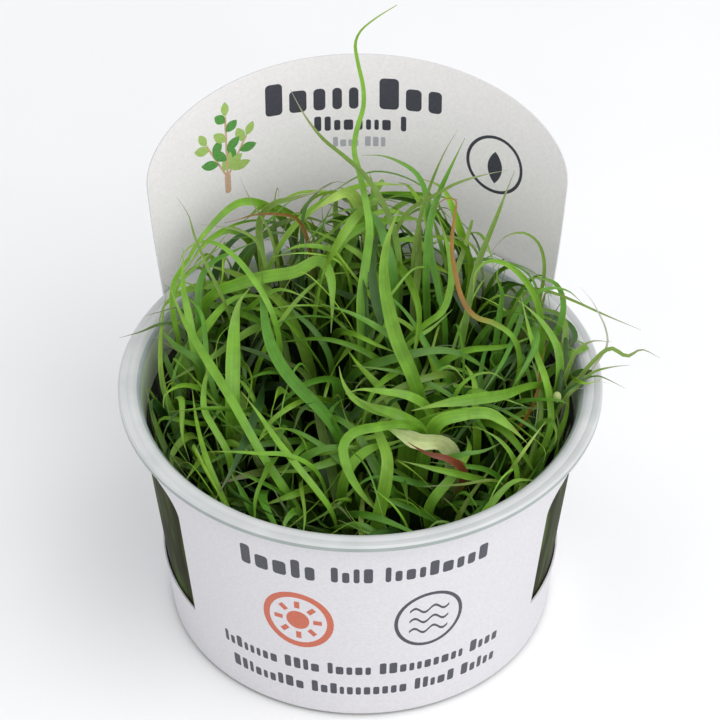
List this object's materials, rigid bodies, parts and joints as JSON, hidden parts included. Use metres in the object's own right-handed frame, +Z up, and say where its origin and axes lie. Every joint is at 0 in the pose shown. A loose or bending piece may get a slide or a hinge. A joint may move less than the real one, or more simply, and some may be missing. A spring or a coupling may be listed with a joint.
{
  "type": "creeping rush tissue culture cup",
  "caption": "Round plastic culture cup in a white card sleeve with a tall rounded rear header, filled with grass-like creeping rush plantlets that stand over the rim.",
  "frame": {"origin": "centre of the cup's flat base, on the surface it stands on", "axes": "+Z up out of the cup's mouth, -Y towards the front of the sleeve, +Y towards its tall header"},
  "size_m": [0.1117, 0.1057, 0.1202],
  "materials": {
    "cup_plastic": "thin translucent milky plastic, smooth",
    "sleeve_card": "white printed card with a light satin coating",
    "gel": "wet brownish nutrient gel",
    "leaf": "fresh green leaf blades with a waxy sheen"
  },
  "bodies": {
    "root": {"cup": "cup_plastic", "sleeve": "sleeve_card", "growth_gel": "gel", "shoot_01": "leaf", "shoot_02": "leaf", "shoot_03": "leaf", "shoot_04": "leaf", "shoot_05": "leaf", "shoot_06": "leaf", "shoot_07": "leaf", "shoot_08": "leaf", "shoot_09": "leaf", "shoot_10": "leaf", "shoot_11": "leaf", "shoot_12": "leaf", "shoot_13": "leaf", "shoot_14": "leaf", "shoot_15": "leaf", "shoot_16": "leaf", "shoot_17": "leaf", "shoot_18": "leaf", "shoot_19": "leaf", "shoot_20": "leaf", "shoot_21": "leaf", "shoot_22": "leaf", "shoot_23": "leaf", "shoot_24": "leaf", "shoot_25": "leaf", "shoot_26": "leaf", "shoot_27": "leaf", "shoot_28": "leaf", "shoot_29": "leaf", "shoot_30": "leaf", "shoot_31": "leaf", "shoot_32": "leaf", "shoot_33": "leaf", "shoot_34": "leaf", "shoot_35": "leaf", "shoot_36": "leaf", "shoot_37": "leaf", "shoot_38": "leaf", "shoot_39": "leaf", "shoot_40": "leaf"}
  },
  "joints": []
}
